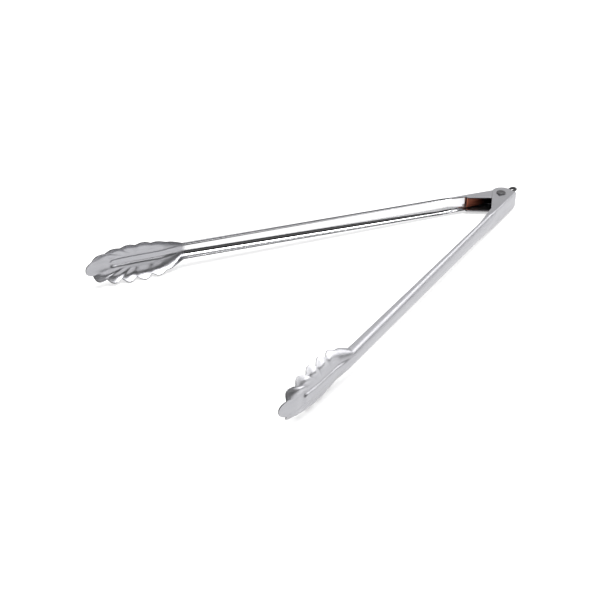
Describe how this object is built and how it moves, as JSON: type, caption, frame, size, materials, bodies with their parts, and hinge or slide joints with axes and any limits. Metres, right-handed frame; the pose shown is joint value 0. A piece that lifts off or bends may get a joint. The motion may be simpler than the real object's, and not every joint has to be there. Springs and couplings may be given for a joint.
{
  "type": "spring loaded kitchen tongs",
  "caption": "Long sheet-metal kitchen tongs with scalloped scoop jaws, riveted at one end and sprung open.",
  "frame": {"origin": "middle of the hinge rivet's lower face, on the hinge axis", "axes": "+Z along the rivet, up through it; +X from the rivet between the two jaws; +Y towards the outer arm's jaw"},
  "size_m": [0.3974, 0.258, 0.037],
  "materials": {
    "arm_steel": "satin outside, polished inside the troughs",
    "rivet_steel": "satin",
    "spring_steel": "brown tempered",
    "loop_wire": "black coated wire"
  },
  "bodies": {
    "outer_arm_body": {"outer_arm": "arm_steel", "rivet": "rivet_steel", "leaf_spring": "spring_steel", "wire_loop": "loop_wire"},
    "inner_arm_body": {"inner_arm": "arm_steel"}
  },
  "joints": [
    {"name": "hinge", "type": "hinge", "parent": "outer_arm_body", "child": "inner_arm_body", "pos_m": [0, 0, 0], "axis": [0, 0, 1], "range_deg": [0, 37.2], "stiffness_Nm_per_rad": 0.5, "springref_deg": -28.65, "deforming": ["leaf_spring"]}
  ]
}
